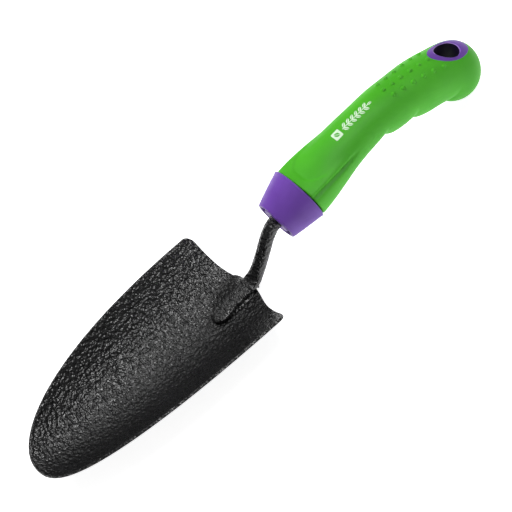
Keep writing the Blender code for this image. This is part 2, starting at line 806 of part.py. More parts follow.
def ground_shift(objects):
    """The move that centres the whole trowel on X and Y and stands it on Z = 0."""
    bpy.context.view_layer.update()
    graph = bpy.context.evaluated_depsgraph_get()
    low = Vector((1e9, 1e9, 1e9))
    high = -low
    for item in objects:
        solid = item.evaluated_get(graph)
        mesh = solid.to_mesh()
        for vertex in mesh.vertices:
            for axis in range(3):
                low[axis] = min(low[axis], vertex.co[axis])
                high[axis] = max(high[axis], vertex.co[axis])
        solid.to_mesh_clear()
    return Vector((-0.5 * (low.x + high.x), -0.5 * (low.y + high.y), -low.z))


def main():
    clear_scene()
    parts = new_collection(OBJECT_NAME)
    cutters = new_collection("cutters")
    coat = new_material("black_coat", BLACK_COAT, 0.42)
    purple = new_material("purple_plastic", PURPLE, 0.42)
    green = new_material("green_rubber", GREEN, 0.5)
    build_blade(coat, parts)
    build_shank(coat, parts)
    build_welds(coat, parts)
    build_collar(purple, parts)
    build_core(purple, parts)
    grip = build_grip(green, parts)
    add_boolean(grip, build_dots(cutters), "UNION")
    add_boolean(grip, egg_prism("cut_seat", liner_rims(SEAT_GAP), None, cutters), "DIFFERENCE")
    build_liner(purple, parts, cutters)
    for item in cutters.objects:
        item.hide_render = True
        item.display_type = "WIRE"
    shift = ground_shift(list(parts.objects))
    for item in list(parts.objects) + list(cutters.objects):
        item.data.transform(Matrix.Translation(shift))
    bpy.context.view_layer.update()


main()
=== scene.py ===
"""Looks of the hand trowel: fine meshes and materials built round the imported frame.

Sizes are in millimetres in the trowel's own layout, with the heel of the blade at the origin,
and become metres in the frame when a mesh is made.
"""
import math

import bmesh
import bpy
import numpy as np
from mathutils import Matrix, Vector
from mathutils.bvhtree import BVHTree


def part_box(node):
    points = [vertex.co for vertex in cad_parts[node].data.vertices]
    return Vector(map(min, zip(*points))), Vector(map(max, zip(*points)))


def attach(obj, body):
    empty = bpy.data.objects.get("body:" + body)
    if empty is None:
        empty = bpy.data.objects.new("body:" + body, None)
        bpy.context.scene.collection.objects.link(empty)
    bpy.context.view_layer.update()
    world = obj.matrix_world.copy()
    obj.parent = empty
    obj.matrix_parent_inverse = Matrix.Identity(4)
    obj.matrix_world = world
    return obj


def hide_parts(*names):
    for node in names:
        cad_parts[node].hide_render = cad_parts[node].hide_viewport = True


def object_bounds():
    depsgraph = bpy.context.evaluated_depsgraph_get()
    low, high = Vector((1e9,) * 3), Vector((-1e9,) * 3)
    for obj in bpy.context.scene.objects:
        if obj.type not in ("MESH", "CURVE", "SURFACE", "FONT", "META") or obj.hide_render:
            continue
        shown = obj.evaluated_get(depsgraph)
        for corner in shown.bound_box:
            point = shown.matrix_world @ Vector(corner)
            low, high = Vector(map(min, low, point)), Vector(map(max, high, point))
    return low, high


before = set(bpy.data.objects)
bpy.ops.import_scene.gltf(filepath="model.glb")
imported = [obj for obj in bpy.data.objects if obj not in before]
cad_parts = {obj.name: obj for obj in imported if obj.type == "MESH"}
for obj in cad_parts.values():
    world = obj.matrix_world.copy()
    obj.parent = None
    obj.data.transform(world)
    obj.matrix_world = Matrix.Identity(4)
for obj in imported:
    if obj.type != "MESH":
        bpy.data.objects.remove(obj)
cad_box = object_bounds()
MM = 0.001

# ---------------------------------------------------------------- layout shared with the solid parts
BLADE_LENGTH = 149.6
BLADE_HALF_WIDTH = 40.3
BLADE_TAPER = 2.34
BLADE_ROUND = 2.24
SHEET = 1.6
HOLLOW_HEEL = 0.0124
HOLLOW_TIP = 0.0246
TIP_RISE = 22.0
BELLY_SLOPE = -0.041
TONGUE = 5.6
TONGUE_SPREAD = 14.0
HEEL_CORNER = 4.4

ROD_RADIUS = 4.0
STRAP_HALF_WIDTH = 5.1
STRAP_HALF_HEIGHT = 2.4
TOE_HALF_HEIGHT = 1.7
TOE_X = 24.0

COLLAR_X = -34.4
COLLAR_Z = 29.3
HANDLE_LINE = (
    (0.0, 0.0),
    (25.8, 5.0),
    (45.8, 7.5),
    (65.8, 9.0),
    (78.0, 8.6),
    (90.5, 6.1),
    (106.0, 1.6),
    (121.0, -5.0),
    (134.0, -13.5),
)
HANDLE_DROP = 0.78
COLLAR_LENGTH = 19.9
COLLAR_FRONT_RADIUS = 12.8
COLLAR_REAR_RADIUS = 17.5
COLLAR_RIM = 1.9
RECESS_DEPTH = 7.0
SEAM_TILT = 0.06
FACE_TILT_SHARE = 1.15
HUB_RADIUS = 8.3
GRIP_END = 138.8
GRIP_SIZE = (
    (19.0, 17.2, 16.5, 16.8),
    (28.0, 16.9, 16.2, 16.7),
    (40.0, 15.7, 14.6, 15.2),
    (52.0, 13.9, 13.3, 14.0),
    (64.0, 13.0, 12.9, 13.4),
    (74.0, 12.8, 13.0, 13.4),
    (85.0, 13.6, 13.4, 15.4),
    (97.5, 14.2, 14.0, 15.9),
    (110.5, 15.1, 15.4, 16.7),
    (123.5, 15.5, 16.2, 15.6),
    (138.8, 16.7, 17.5, 17.0),
)
DISH_HEIGHT = 11.4
DISH_START = 8.0
DISH_FULL = 27.0
DISH_END = 66.0
RIDGE_CREASE = 1.6        # depth of the crease under the edge of the thumb rest
RIDGE_ANGLE = 26.0
RIDGE_ANGLE_FRONT = 36.0
CREASE_BELOW = 7.0        # degrees from that edge down to the crease
CREASE_WIDTH = 5.5        # degrees
RIDGE_FADE = 44.0
RIDGE_END = 60.0
FINGER_NOTCHES = (78.0, 100.0, 130.5)
NOTCH_DEPTH = 2.0
NOTCH_RUN_IN = 4.6
NOTCH_RUN_OUT = 2.2
DOT_ROWS = ((-24.0, -27.0, 88.3, 5.9), (1.0, 3.0, 87.2, 5.95), (24.0, 33.0, 89.3, 6.45))
DOTS_PER_ROW = 6
HOLE_TILT = 8.0
HOLE_ALONG = 137.0
HOLE_HALF_LENGTH = 7.5
HOLE_HALF_WIDTH = 6.5
LINER_ABOVE = (4.9, 6.3, 2.1)
LINER_BELOW = (1.8, 1.8, 1.8)
EGG = 0.16

# ---------------------------------------------------------------- finish of the visible surfaces
LIFT_TOP = 0.17           # relief of the hammered coat on each surface
LIFT_UNDER = 0.07
LIFT_EDGE = 0.03
LIFT_ROD = 0.10
LIFT_WELD = 0.09
WORM_PITCH = 1.9
BLOB_PITCH = 1.25
EDGE_INSET = 0.48         # room left for the rounded rim inside the blade's outline
EDGE_BULGE = 0.42
UNDER_CLEAR = 0.12
THUMB_SOFT = 0.6          # rounding of the thumb rest's edge
PAN_DEPTH = 0.55          # shallow pan in the thumb rest, with a round front end
PAN_FRONT = 24.6
PAN_SWEEP = 9.0
PAN_HALF_WIDTH = 11.5
SEAM_GAP = 0.45
GRIP_LIP = 1.3            # rounded front edge of the grip
DOT_SIDES = 28
DOT_TOP = 0.95
DOT_PROFILE = ((1.50, -0.08), (1.34, 0.04), (1.20, 0.20), (1.08, 0.40), (0.94, 0.56),
               (0.74, 0.74), (0.50, 0.86), (0.25, 0.93))
SEAT_CLEAR = 0.12         # between the hang ring and its seat in the grip
LINER_BEAD = 0.75         # rounded edge of the hang hole
MERGE_DISTANCE = 1e-6     # metres

# The heel weld's place in the frame fixes where the layout's origin is.
weld_low, weld_high = (np.array(c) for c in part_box("weld_heel"))
weld_mid = 0.5 * (weld_low + weld_high) / MM
HEEL_BEAD_BACK = 1.2
HEEL_BEAD_UP = 0.5
ORIGIN = np.array([weld_mid[0] + TONGUE + HEEL_BEAD_BACK, 0.0, weld_mid[2] + SHEET - HEEL_BEAD_UP])


def to_world(points):
    """Layout millimetres to metres in the frame."""
    return (np.asarray(points, dtype=float) + ORIGIN) * MM


# ---------------------------------------------------------------- maths
def step(low, high, value):
    """Smooth step from 0 at low to 1 at high."""
    t = np.clip((np.asarray(value, dtype=float) - low) / (high - low), 0.0, 1.0)
    return t * t * (3.0 - 2.0 * t)


def curve(knots, column, at, end_slope=0.0):
    """Smooth curve through a short list of knots, straight beyond the last one."""
    xs = np.array([k[0] for k in knots])
    ys = np.array([k[column] for k in knots])
    rise = np.diff(ys) / np.diff(xs)
    span = np.diff(xs)
    slope = np.empty(len(xs))
    slope[0] = rise[0]
    slope[-1] = end_slope
    slope[1:-1] = (rise[:-1] * span[1:] + rise[1:] * span[:-1]) / (span[:-1] + span[1:])
    v = np.maximum(np.asarray(at, dtype=float), xs[0])
    i = np.clip(np.searchsorted(xs, v, side="right") - 1, 0, len(xs) - 2)
    t = np.clip((v - xs[i]) / span[i], 0.0, 1.0)
    a = (2 * t ** 3 - 3 * t ** 2 + 1) * ys[i] + (t ** 3 - 2 * t ** 2 + t) * span[i] * slope[i]
    b = (-2 * t ** 3 + 3 * t ** 2) * ys[i + 1] + (t ** 3 - t ** 2) * span[i] * slope[i + 1]
    return a + b + np.maximum(v - xs[-1], 0.0) * end_slope


def lattice(ix, iy, iz, seed):
    """A fixed value from -1 to 1 for each whole-number place."""
    h = (ix * 374761393 + iy * 668265263 + iz * 1442695041 + seed * 1274126177) & 0xFFFFFFFF
    h = ((h ^ (h >> 13)) * 1274126177) & 0xFFFFFFFF
    h = h ^ (h >> 16)
    return (h & 0xFFFF) / 32767.5 - 1.0


def smooth_noise(points, pitch, seed):
    """Value noise from -1 to 1, one value per point."""
    turn = np.array([[0.80, 0.36, -0.48], [-0.60, 0.48, -0.64], [0.0, 0.80, 0.60]])
    p = (np.asarray(points) @ turn) / pitch + 100.0
    i = np.floor(p).astype(np.int64)
    f = p - i
    w = f * f * f * (f * (f * 6.0 - 15.0) + 10.0)
    total = np.zeros(len(p))
    for dx in (0, 1):
        for dy in (0, 1):
            for dz in (0, 1):
                share = np.where(dx, w[:, 0], 1 - w[:, 0])
                share = share * np.where(dy, w[:, 1], 1 - w[:, 1])
                share = share * np.where(dz, w[:, 2], 1 - w[:, 2])
                total += share * lattice(i[:, 0] + dx, i[:, 1] + dy, i[:, 2] + dz, seed)
    return total


def hammered(points):
    """Relief of the hammer-textured coat, from about -1 to 1."""
    p = np.asarray(points)
    worm = 1.0 - 2.2 * np.abs(smooth_noise(p, WORM_PITCH, 3))
    blob = smooth_noise(p, BLOB_PITCH, 11)
    return 0.55 * worm + 0.6 * blob


# ---------------------------------------------------------------- mesh helpers
def ring_faces(rows, count, looped=False, start=0):
    """Quads between neighbouring rings of points."""
    i = np.arange(count)
    j = (i + 1) % count
    last = rows if looped else rows - 1
    faces = []
    for r in range(last):
        a = start + r * count
        b = start + ((r + 1) % rows) * count
        faces.append(np.stack([a + i, a + j, b + j, b + i], axis=1))
    return np.concatenate(faces)


def make_piece(name, verts, faces, material, slot, nodes=(), sharp=40.0, extra_faces=()):
    """An object from points and faces, riding on the one body if it has a material slot."""
    mesh = bpy.data.meshes.new(name)
    all_faces = [tuple(int(k) for k in f) for f in faces] + [tuple(f) for f in extra_faces]
    mesh.from_pydata(to_world(verts).tolist(), [], all_faces)
    work = bmesh.new()
    work.from_mesh(mesh)
    bmesh.ops.remove_doubles(work, verts=work.verts, dist=MERGE_DISTANCE)
    bmesh.ops.recalc_face_normals(work, faces=work.faces)
    for face in work.faces:
        face.smooth = True
    limit = math.radians(sharp)
    for edge in work.edges:
        if len(edge.link_faces) == 2:
            edge.smooth = edge.calc_face_angle(0.0) < limit
    work.to_mesh(mesh)
    work.free()
    mesh.materials.append(material)
    piece = bpy.data.objects.new(name, mesh)
    bpy.context.scene.collection.objects.link(piece)
    if slot is not None:
        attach(piece, "root")
        if nodes:
            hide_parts(*nodes)
    return piece


def rings_piece(name, rings, material, slot, nodes=(), first=None, last=None, looped=False, sharp=40.0):
    """A piece from rings of equal length, with its ends closed by the points first and last."""
    rings = [np.asarray(r) for r in rings]
    count = len(rings[0])
    verts = np.concatenate(rings)
    faces = ring_faces(len(rings), count, looped)
    extra = []
    if first is not None:
        pole = len(verts)
        verts = np.vstack([verts, first])
        extra += [(pole, (i + 1) % count, i) for i in range(count)]
    if last is not None:
        pole = len(verts)
        verts = np.vstack([verts, last])
        a = (len(rings) - 1) * count
        extra += [(pole, a + i, a + (i + 1) % count) for i in range(count)]
    return make_piece(name, verts, faces, material, slot, nodes, sharp, extra_faces=extra)


# ---------------------------------------------------------------- materials
class Nodes:
    """A material's node tree, with short calls to add and join nodes."""

    def __init__(self, name):
        self.material = bpy.data.materials.new(name)
        self.material.use_nodes = True
        self.tree = self.material.node_tree
        self.shader = self.tree.nodes["Principled BSDF"]
        self.place = self.add("ShaderNodeTexCoord").outputs["Object"]

    def add(self, kind, **values):
        node = self.tree.nodes.new(kind)
        for key, value in values.items():
            setattr(node, key, value)
        return node

    def join(self, a, b):
        self.tree.links.new(a, b)

    def noise(self, scale, detail=2.0, rough=0.5, stretch=None):
        node = self.add("ShaderNodeTexNoise")
        node.inputs["Scale"].default_value = scale
        node.inputs["Detail"].default_value = detail
        node.inputs["Roughness"].default_value = rough
        place = self.place
        if stretch is not None:
            mapping = self.add("ShaderNodeMapping")
            mapping.inputs["Scale"].default_value = stretch
            self.join(place, mapping.inputs["Vector"])
            place = mapping.outputs["Vector"]
        self.join(place, node.inputs["Vector"])
        return node.outputs["Fac"]

    def span(self, source, low, high, out_low, out_high):
        node = self.add("ShaderNodeMapRange")
        node.inputs["From Min"].default_value = low
        node.inputs["From Max"].default_value = high
        node.inputs["To Min"].default_value = out_low
        node.inputs["To Max"].default_value = out_high
        self.join(source, node.inputs["Value"])
        return node.outputs["Result"]

    def blend(self, share, a, b):
        node = self.add("ShaderNodeMix", data_type="RGBA")
        self.join(share, node.inputs["Factor"])
        for socket, value in ((node.inputs[6], a), (node.inputs[7], b)):
            if isinstance(value, tuple):
                socket.default_value = value
            else:
                self.join(value, socket)
        return node.outputs[2]

    def bump(self, height, distance, strength=1.0, below=None):
        node = self.add("ShaderNodeBump")
        node.inputs["Distance"].default_value = distance
        node.inputs["Strength"].default_value = strength
        self.join(height, node.inputs["Height"])
        if below is not None:
            self.join(below, node.inputs["Normal"])
        return node.outputs["Normal"]


def black_coat():
    n = Nodes("black_coat_look")
    fine = n.noise(1100.0, 1.0, 0.5)
    medium = n.noise(560.0, 1.0, 0.5)
    dust = n.noise(38.0, 3.0, 0.6)
    peak = n.span(medium, 0.40, 0.66, 0.0, 1.0)
    tone = n.blend(peak, (0.0022, 0.0022, 0.0024, 1.0), (0.0075, 0.0075, 0.008, 1.0))
    tone = n.blend(n.span(dust, 0.45, 0.75, 0.0, 0.3), tone, (0.011, 0.0108, 0.0105, 1.0))
    n.join(tone, n.shader.inputs["Base Color"])
    n.join(n.span(fine, 0.3, 0.7, 0.20, 0.33), n.shader.inputs["Roughness"])
    n.shader.inputs["Specular IOR Level"].default_value = 0.55
    wide = n.bump(medium, 0.0011, 1.0)
    n.join(n.bump(fine, 0.0001, 0.5, wide), n.shader.inputs["Normal"])
    return n.material


def purple_plastic():
    n = Nodes("purple_plastic_look")
    cloud = n.noise(55.0, 3.0, 0.55)
    grain = n.noise(2600.0, 2.0, 0.6)
    flow = n.noise(160.0, 2.0, 0.5, (0.35, 1.0, 1.0))
    tone = n.blend(n.span(cloud, 0.3, 0.7, 0.0, 1.0), (0.118, 0.036, 0.315, 1.0), (0.148, 0.050, 0.385, 1.0))
    # painted light, from the hang ring's own values: 1 paints shade on the wall of the hole, -1 paints a
    # highlight on its edge
    painted_light = n.add("ShaderNodeAttribute")
    painted_light.attribute_name = "painted_light"
    # near-black painted shade on the wall of the hole
    tone = n.blend(n.span(painted_light.outputs["Fac"], 0.0, 1.0, 0.0, 0.93), tone, (0.004, 0.002, 0.010, 1.0))
    # pale lilac painted highlight on the edge of the hole
    tone = n.blend(n.span(painted_light.outputs["Fac"], -1.0, 0.0, 0.7, 0.0), tone, (0.62, 0.42, 0.90, 1.0))
    n.join(tone, n.shader.inputs["Base Color"])
    n.join(n.span(grain, 0.3, 0.7, 0.46, 0.58), n.shader.inputs["Roughness"])
    n.shader.inputs["Specular IOR Level"].default_value = 0.4
    wide = n.bump(flow, 0.0001, 0.10)
    n.join(n.bump(grain, 0.00003, 0.22, wide), n.shader.inputs["Normal"])
    return n.material


def green_rubber():
    n = Nodes("green_rubber_look")
    cloud = n.noise(42.0, 3.0, 0.55)
    speck = n.noise(1500.0, 2.0, 0.6)
    grain = n.noise(3200.0, 2.0, 0.65)
    flow = n.noise(120.0, 2.0, 0.5, (0.5, 1.0, 1.0))
    tone = n.blend(n.span(cloud, 0.3, 0.7, 0.0, 1.0), (0.050, 0.385, 0.006, 1.0), (0.066, 0.450, 0.010, 1.0))
    tone = n.blend(n.span(speck, 0.56, 0.78, 0.0, 0.25), tone, (0.09, 0.48, 0.03, 1.0))
    n.join(tone, n.shader.inputs["Base Color"])
    n.join(n.span(grain, 0.3, 0.7, 0.50, 0.64), n.shader.inputs["Roughness"])
    n.shader.inputs["Specular IOR Level"].default_value = 0.32
    wide = n.bump(flow, 0.00012, 0.12)
    n.join(n.bump(grain, 0.00004, 0.35, wide), n.shader.inputs["Normal"])
    return n.material


def pale_ink():
    n = Nodes("pale_ink_look")
    grain = n.noise(2400.0, 2.0, 0.6)
    wear = n.noise(420.0, 3.0, 0.6)
    tone = n.blend(n.span(wear, 0.55, 0.75, 0.0, 0.6), (0.70, 0.90, 0.66, 1.0), (0.45, 0.78, 0.38, 1.0))
    n.join(tone, n.shader.inputs["Base Color"])
    n.join(n.span(grain, 0.3, 0.7, 0.42, 0.58), n.shader.inputs["Roughness"])
    n.join(n.bump(grain, 0.00002, 0.2), n.shader.inputs["Normal"])
    return n.material


def floor_material():
    n = Nodes("floor_look")
    grain = n.noise(30.0, 3.0, 0.6)
    tone = n.blend(n.span(grain, 0.3, 0.7, 0.0, 1.0), (0.93, 0.93, 0.93, 1.0), (0.95, 0.95, 0.95, 1.0))
    n.join(tone, n.shader.inputs["Base Color"])
    n.shader.inputs["Roughness"].default_value = 0.85
    n.shader.inputs["Specular IOR Level"].default_value = 0.1
    n.join(tone, n.shader.inputs["Emission Color"])
    n.shader.inputs["Emission Strength"].default_value = 0.9
    return n.material


COAT = black_coat()
PURPLE = purple_plastic()
GREEN = green_rubber()
INK = pale_ink()


# ---------------------------------------------------------------- blade
def blade_height(x, y):
    t = np.clip(np.asarray(x, dtype=float) / BLADE_LENGTH, 0.0, 1.0)
    hollow = HOLLOW_HEEL + (HOLLOW_TIP - HOLLOW_HEEL) * t
    return TIP_RISE * t ** 3 + BELLY_SLOPE * BLADE_LENGTH * t + hollow * np.asarray(y) ** 2


def blade_normal(x, y):
    d = 0.05
    hx = (blade_height(x + d, y) - blade_height(x - d, y)) / (2 * d)
    hy = (blade_height(x, y + d) - blade_height(x, y - d)) / (2 * d)
    n = np.stack([-hx, -hy, np.ones_like(hx)], axis=-1)
    return n / np.linalg.norm(n, axis=-1, keepdims=True)


def blade_outline(pitch):
    """Plan outline at even spacing, from the tip round the +Y side and back."""
    lean = 0.5 * math.pi * (1.0 - np.linspace(0.0, 1.0, 500))
    share = np.cos(lean) ** 0.9
    x = BLADE_LENGTH * (1.0 - share ** BLADE_ROUND) ** (1.0 / BLADE_TAPER)
    keep = x >= HEEL_CORNER
    side = np.stack([x[keep], BLADE_HALF_WIDTH * share[keep]], axis=1)
    full = (1.0 - (HEEL_CORNER / BLADE_LENGTH) ** BLADE_TAPER) ** (1.0 / BLADE_ROUND)
    side_y = BLADE_HALF_WIDTH * full
    a = np.linspace(0.0, 0.5 * math.pi, 24)
    corner = np.stack([HEEL_CORNER * (1 - np.sin(a)), side_y - HEEL_CORNER * (1 - np.cos(a))], axis=1)
    y = np.linspace(side_y - HEEL_CORNER, 0.0, 90)[1:]
    heel = np.stack([-TONGUE * np.exp(-(y / TONGUE_SPREAD) ** 2), y], axis=1)
    half = np.concatenate([side, corner, heel])
    whole = np.concatenate([half, (half * [1, -1])[::-1][1:]])
    along = np.concatenate([[0.0], np.cumsum(np.linalg.norm(np.diff(whole, axis=0), axis=1))])
    count = int(along[-1] / pitch)
    at = np.arange(count) * along[-1] / count
    return np.stack([np.interp(at, along, whole[:, 0]), np.interp(at, along, whole[:, 1])], axis=1)


def build_blade():
    """Rings that grow from a line near the spine to the rim, go round it and come back underneath."""
    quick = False
    outline = blade_outline(1.1 if quick else 0.62)
    depth = 40 if quick else 66
    centre = np.roll(outline, -1, axis=0) - np.roll(outline, 1, axis=0)
    out = np.stack([centre[:, 1], -centre[:, 0]], axis=1)
    out = out / np.linalg.norm(out, axis=1, keepdims=True)
    if (out * outline).sum() < (out * [[75.0, 0.0]]).sum():
        out = -out
    outline = outline - out * EDGE_INSET

    def row(share):
        hold = np.clip(outline[:, 0], 0.14 * BLADE_LENGTH, 0.76 * BLADE_LENGTH)
        x = hold + (outline[:, 0] - hold) * share
        y = outline[:, 1] * share
        n = blade_normal(x, y)
        return np.stack([x, y, blade_height(x, y)], axis=1), n

    rings = []
    for r in range(depth + 1):
        base, n = row(r / depth)
        fade = step(0.0, 1.4, (1.0 - r / depth) * 40.0)
        lift = LIFT_TOP * hammered(base)
        rings.append(base + n * (lift * (0.35 + 0.65 * fade))[:, None])
    edge, n = row(1.0)
    side = np.concatenate([out, np.zeros((len(out), 1))], axis=1)
    side = side - n * (side * n).sum(axis=1, keepdims=True)
    side = side / np.linalg.norm(side, axis=1, keepdims=True)
    for k in range(1, 8):
        a = math.pi * k / 8
        rise = 0.5 * SHEET * math.copysign(abs(math.cos(a)) ** 0.6, math.cos(a))
        ring = edge - n * (0.5 * SHEET - rise) + side * (EDGE_BULGE * math.sin(a) ** 0.7)
        rings.append(ring + side * (LIFT_EDGE * hammered(ring * 0.7))[:, None])
    for r in range(depth, -1, -2):
        base, n = row(r / depth)
        under = base - n * (SHEET - UNDER_CLEAR)
        rings.append(under - n * (LIFT_UNDER * hammered(under + [50.0, 9.0, 0.0]))[:, None])
    return rings_piece("blade_sheet", rings, COAT, "black_coat", ("blade",), sharp=75.0)


# ---------------------------------------------------------------- shank
def shank_stations():
    """Along the strap and the rod: x, height of its middle, half width, half height, squareness."""
    rows = []
    for x in (TOE_X, TOE_X - 0.35, TOE_X - 1.2, TOE_X - 2.6, TOE_X - 4.5, TOE_X - 8.0, 11.0, 6.0, 2.0, -1.5):
        nose = math.sqrt(max(0.0, 1.0 - (max(0.0, x - (TOE_X - 4.5)) / 4.7) ** 2))
        flat = float(step(0.0, TOE_X, TOE_X - x))
        tall = TOE_HALF_HEIGHT + (STRAP_HALF_HEIGHT - TOE_HALF_HEIGHT) * flat
        drop = 0.35 + 0.65 * math.sqrt(max(0.0, 1.0 - (max(0.0, x - (TOE_X - 2.0)) / 2.1) ** 2))
        base = float(blade_height(x, 0.0))
        rows.append((x, base + tall * drop, STRAP_HALF_WIDTH * max(0.16, nose), tall * drop, 3.6))
    rows += [
        (-6.3, 3.35, 4.8, 2.9, 3.0),
        (-9.6, 5.2, 4.3, 3.5, 2.5),
        (-13.3, 8.7, ROD_RADIUS, ROD_RADIUS, 2.1),
        (-17.5, 13.6, ROD_RADIUS, ROD_RADIUS, 2.0),
        (-21.6, 18.9, ROD_RADIUS, ROD_RADIUS, 2.0),
        (-25.2, 23.5, ROD_RADIUS, ROD_RADIUS, 2.0),
        (-28.3, 26.6, ROD_RADIUS, ROD_RADIUS, 2.0),
        (-31.4, 28.6, ROD_RADIUS, ROD_RADIUS, 2.0),
        (-35.2, 29.5, ROD_RADIUS, ROD_RADIUS, 2.0),
        (-44.0, 31.2, ROD_RADIUS, ROD_RADIUS, 2.0),
    ]
    return np.array(rows)


def spline_rows(rows, steps):
    """Catmull-Rom through the rows, the same number of steps in each span."""
    padded = np.vstack([2 * rows[0] - rows[1], rows, 2 * rows[-1] - rows[-2]])
    out = []
    for i in range(1, len(padded) - 2):
        a, b, c, d = padded[i - 1:i + 3]
        for k in range(steps):
            t = k / steps
            out.append(0.5 * (2 * b + (c - a) * t + (2 * a - 5 * b + 4 * c - d) * t ** 2
                              + (3 * b - a - 3 * c + d) * t ** 3))
    out.append(rows[-1])
    return np.array(out)


def build_shank():
    rows = spline_rows(shank_stations(), 9)
    sides = 72
    angle = 2.0 * math.pi * np.arange(sides) / sides
    c = np.cos(angle)
    d = np.sin(angle)
    centre = np.stack([rows[:, 0], np.zeros(len(rows)), rows[:, 1]], axis=1)
    along = np.gradient(centre, axis=0)
    along = along / np.linalg.norm(along, axis=1, keepdims=True)
    rings = []
    for i, row in enumerate(rows):
        full = max(2.0, row[4])
        across = row[2] * np.sign(c) * np.abs(c) ** (2.0 / full)
        rise = row[3] * np.sign(d) * np.abs(d) ** (2.0 / full)
        up = np.array([along[i, 2], 0.0, -along[i, 0]])
        ring = centre[i] + np.outer(across, [0.0, 1.0, 0.0]) + np.outer(rise, up)
        out = ring - centre[i]
        out = out / np.maximum(1e-6, np.linalg.norm(out, axis=1, keepdims=True))
        rings.append(ring + out * (LIFT_ROD * hammered(ring))[:, None])
    return rings_piece("neck_rod", rings, COAT, "black_coat", ("shank",), centre[0], centre[-1], sharp=80.0)


def build_side_weld(name, side, reach, height, start, end, node):
    """Weld fillet between the strap's side and the blade, closed below the surface."""
    rings = []
    steps = 150
    for i in range(steps + 1):
        x = start + (end - start) * i / steps
        fade = math.sqrt(max(0.0, 1.0 - max(0.0, 1.0 - 3.0 * i / steps) ** 4))
        fade = fade * (1.0 - float(step(0.45, 1.0, i / steps)))
        flat = float(step(0.0, TOE_X, TOE_X - x))
        strap = 2.0 * (TOE_HALF_HEIGHT + (STRAP_HALF_HEIGHT - TOE_HALF_HEIGHT) * flat)
        wide = max(0.15, reach * fade)
        tall = max(0.1, height * strap * fade)
        lap = 0.5 + 1.6 * height
        t = np.linspace(0.0, 1.0, 18)
        y = STRAP_HALF_WIDTH - lap + (wide + lap) * t
        top = tall * (1.0 - t) ** 1.25 * (1.0 - 0.05 * (1.0 - t) ** 6)
        z = blade_height(np.full_like(y, x), y) + top
        upper = np.stack([np.full_like(y, x), side * y, z], axis=1)
        lower = upper[::-1][1:-1].copy()
        lower[:, 2] = blade_height(lower[:, 0], lower[:, 1]) - 0.5
        lift = LIFT_WELD * hammered(upper) * np.where((t > 0.02) & (t < 0.98), 1.0, 0.0)
        upper[:, 2] += lift
        ring = np.concatenate([upper, lower])
        rings.append(ring)
    first = rings[0].mean(axis=0)
    last = rings[-1].mean(axis=0)
    return rings_piece(name, rings, COAT, "black_coat", (node,), first, last, sharp=70.0)


def build_heel_weld():
    rings = []
    steps = 40
    for i in range(steps + 1):
        y = 3.6 * (2.0 * i / steps - 1.0)
        fade = math.sqrt(max(0.0, 1.0 - abs(2.0 * i / steps - 1.0) ** 3))
        radius = max(0.12, 0.95 * fade * (1.0 + 0.08 * math.sin(y * 4.5)))
        angle = 2.0 * math.pi * np.arange(28) / 28
        x = -TONGUE - HEEL_BEAD_BACK + radius * np.cos(angle)
        z = -SHEET + HEEL_BEAD_UP + radius * np.sin(angle)
        rings.append(np.stack([x, np.full_like(x, y), z], axis=1))
    first = rings[0].mean(axis=0)
    last = rings[-1].mean(axis=0)
    return rings_piece("heel_bead", rings, COAT, "black_coat", ("weld_heel",), first, last, sharp=70.0)


# ---------------------------------------------------------------- handle line
def handle_line():
    back = np.arange(0.0, HANDLE_LINE[-1][0] + 14.0, 0.2)
    x = COLLAR_X - back
    z = COLLAR_Z + curve(HANDLE_LINE, 1, back, -HANDLE_DROP)
    along = np.concatenate([[0.0], np.cumsum(np.hypot(np.diff(x), np.diff(z)))])
    return along, x, z


LINE = handle_line()
ACROSS = np.array([0.0, 1.0, 0.0])


def line_frame(s):
    """Points, rearward directions and upward normals of the handle line."""
    s = np.atleast_1d(np.asarray(s, dtype=float))

    def at(v):
        x = np.interp(v, LINE[0], LINE[1])
        z = np.interp(v, LINE[0], LINE[2])
        return np.stack([x, np.zeros_like(v), z], axis=-1)

    along = at(s + 1.5) - at(np.maximum(0.0, s - 1.5))
    along = along / np.linalg.norm(along, axis=-1, keepdims=True)
    up = np.stack([along[..., 2], np.zeros_like(s), -along[..., 0]], axis=-1)
    ahead = np.minimum(0.0, s)[..., None]
    return at(np.maximum(0.0, s)) + along * ahead, along, up


def notch_depth(s):
    """Finger creases: a gentle run in from the front, a sharp step out behind."""
    total = np.zeros_like(s)
    for n in FINGER_NOTCHES:
        gap = s - n
        total += NOTCH_DEPTH * np.where(gap < 0, np.exp(gap / NOTCH_RUN_IN), np.exp(-gap / NOTCH_RUN_OUT))
    return total


